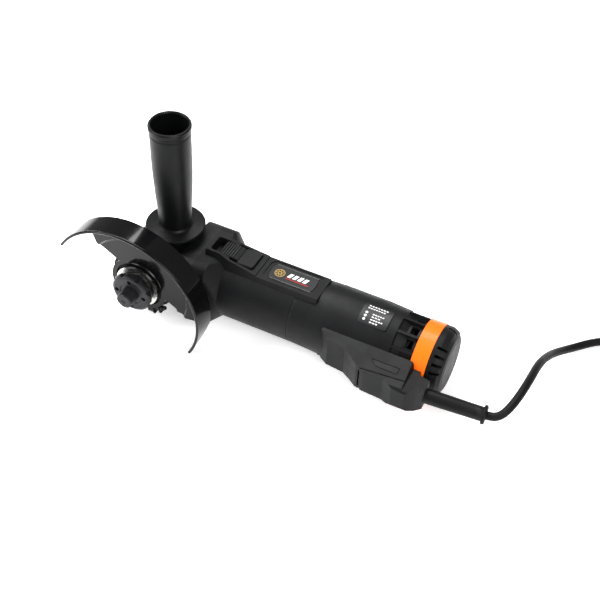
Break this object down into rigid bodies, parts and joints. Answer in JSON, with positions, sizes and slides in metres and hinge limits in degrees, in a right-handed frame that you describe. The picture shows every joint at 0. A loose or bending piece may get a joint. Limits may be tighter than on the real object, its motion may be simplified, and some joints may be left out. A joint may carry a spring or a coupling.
{
  "type": "angle grinder",
  "caption": "Corded angle grinder with disc guard, side handle, slide switch, bevel gearing and motor inside, and a mains cord with plug.",
  "frame": {"origin": "on the spindle axis, at the disc seat of the inner flange; the tool lies on its side", "axes": "+X along the motor axis from the gear head to the tail, -Y along the spindle toward the disc, +Z along the side handle, up"},
  "size_m": [0.5505, 0.2126, 0.181],
  "materials": {
    "cast_black": "satin black painted die casting",
    "gloss_black": "gloss black coating on steel",
    "black_plastic": "fine-grained black nylon",
    "satin_black": "satin black nylon",
    "orange_plastic": "satin orange",
    "rubber": "matte black rubber",
    "badge": "printed film",
    "zinc": "zinc plated, turned",
    "steel": "ground steel",
    "gear_steel": "oiled steel",
    "black_steel": "black oxide",
    "bronze": "plain",
    "copper": "enamelled copper",
    "brass_pin": "nickel plated brass",
    "grey_plastic": "plain",
    "carbon": "carbon"
  },
  "bodies": {
    "tool": {"air_baffle": "grey_plastic", "bearing_retainer": "steel", "bearing_sleeve": "rubber", "brush_holders": "bronze", "brush_springs": "steel", "capacitor": "grey_plastic", "carbon_brushes": "carbon", "cord_clamp": "grey_plastic", "cord_coil": "rubber", "cord_inner_end": "rubber", "cord_tube": "rubber", "end_cap": "black_plastic", "field_coils": "copper", "front_bearing": "steel", "gear_head_housing": "cast_black", "gear_head_screws": "black_steel", "lock_spring": "steel", "motor_housing": "black_plastic", "name_badge": "badge", "orange_band": "orange_plastic", "plug_body": "rubber", "plug_pins": "brass_pin", "rating_plate": "badge", "rear_bearing": "steel", "rear_housing": "black_plastic", "spindle_bearing": "steel", "spindle_cover": "cast_black", "spindle_cover_screws": "steel", "spindle_top_bush": "bronze", "stator_core": "gear_steel", "strain_relief": "rubber", "switch_cradle": "grey_plastic", "switch_module": "grey_plastic", "tail_screw": "black_steel", "terminal_block": "grey_plastic"},
    "armature": {"armature_shaft": "steel", "armature_core": "gear_steel", "armature_windings": "copper", "commutator": "copper", "cooling_fan": "grey_plastic", "bevel_pinion": "gear_steel", "pinion_nut": "steel"},
    "output": {"spindle": "steel", "bevel_wheel": "gear_steel", "inner_flange": "zinc", "flange_nut": "black_steel"},
    "guard_group": {"guard": "gloss_black", "guard_clamp_band": "gloss_black", "guard_clamp_screw": "black_steel"},
    "switch_slider": {"switch_knob": "satin_black", "switch_rod": "grey_plastic"},
    "lock_plunger": {"lock_button": "black_plastic", "lock_pin": "steel"},
    "side_handle": {"side_handle_grip": "satin_black", "handle_stud": "steel"}
  },
  "joints": [
    {"name": "armature_spin", "type": "hinge", "parent": "tool", "child": "armature", "pos_m": [0.1, 0.044, 0], "axis": [1, 0, 0], "continuous": true},
    {"name": "spindle_spin", "type": "hinge", "parent": "tool", "child": "output", "pos_m": [0, 0, 0], "axis": [0, 1, 0], "continuous": true},
    {"name": "guard_swivel", "type": "hinge", "parent": "tool", "child": "guard_group", "pos_m": [0, 0.006, 0], "axis": [0, 1, 0], "range_deg": [-90, 90]},
    {"name": "switch_slide", "type": "slide", "parent": "tool", "child": "switch_slider", "axis": [-1, 0, 0], "range_m": [0, 0.006]},
    {"name": "lock_press", "type": "slide", "parent": "tool", "child": "lock_plunger", "axis": [0, -1, 0], "range_m": [0, 0.005], "stiffness_N_per_m": 600, "springref_m": -0.002, "deforming": ["lock_spring"]},
    {"name": "handle_unscrew", "type": "slide", "parent": "tool", "child": "side_handle", "axis": [0, 0, 1], "range_m": [0, 0.025]}
  ],
  "couplings": [
    {"joint": "spindle_spin", "follows": "armature_spin", "ratio": 0.28947}
  ]
}
